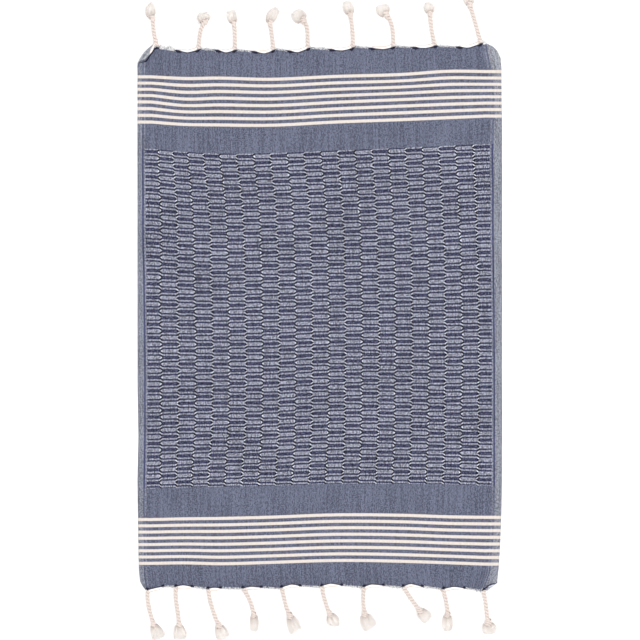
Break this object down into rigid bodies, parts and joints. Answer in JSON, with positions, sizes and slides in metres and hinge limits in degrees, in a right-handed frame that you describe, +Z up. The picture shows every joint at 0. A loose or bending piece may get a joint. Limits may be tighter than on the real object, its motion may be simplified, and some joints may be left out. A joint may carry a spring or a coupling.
{
  "type": "tea towel",
  "caption": "Rectangular flat-woven cotton tea towel laid out flat, with woven bands, a patterned middle and hand-twisted knotted tassels along both ends.",
  "frame": {"origin": "middle of the cloth's underside, on the surface that it lies on", "axes": "+Z up out of the surface, +Y along the cloth towards the end with nine tassels, +X across it"},
  "size_m": [0.45, 0.7981, 0.008],
  "materials": {
    "cloth": "matt indigo and white cotton weave",
    "yarn": "matt unbleached cotton yarn"
  },
  "bodies": {
    "root": {"cloth": "cloth", "tassel_top_1": "yarn", "tassel_top_2": "yarn", "tassel_top_3": "yarn", "tassel_top_4": "yarn", "tassel_top_5": "yarn", "tassel_top_6": "yarn", "tassel_top_7": "yarn", "tassel_top_8": "yarn", "tassel_top_9": "yarn", "tassel_bottom_1": "yarn", "tassel_bottom_2": "yarn", "tassel_bottom_3": "yarn", "tassel_bottom_4": "yarn", "tassel_bottom_5": "yarn", "tassel_bottom_6": "yarn", "tassel_bottom_7": "yarn", "tassel_bottom_8": "yarn", "tassel_bottom_9": "yarn", "tassel_bottom_10": "yarn"}
  },
  "joints": []
}
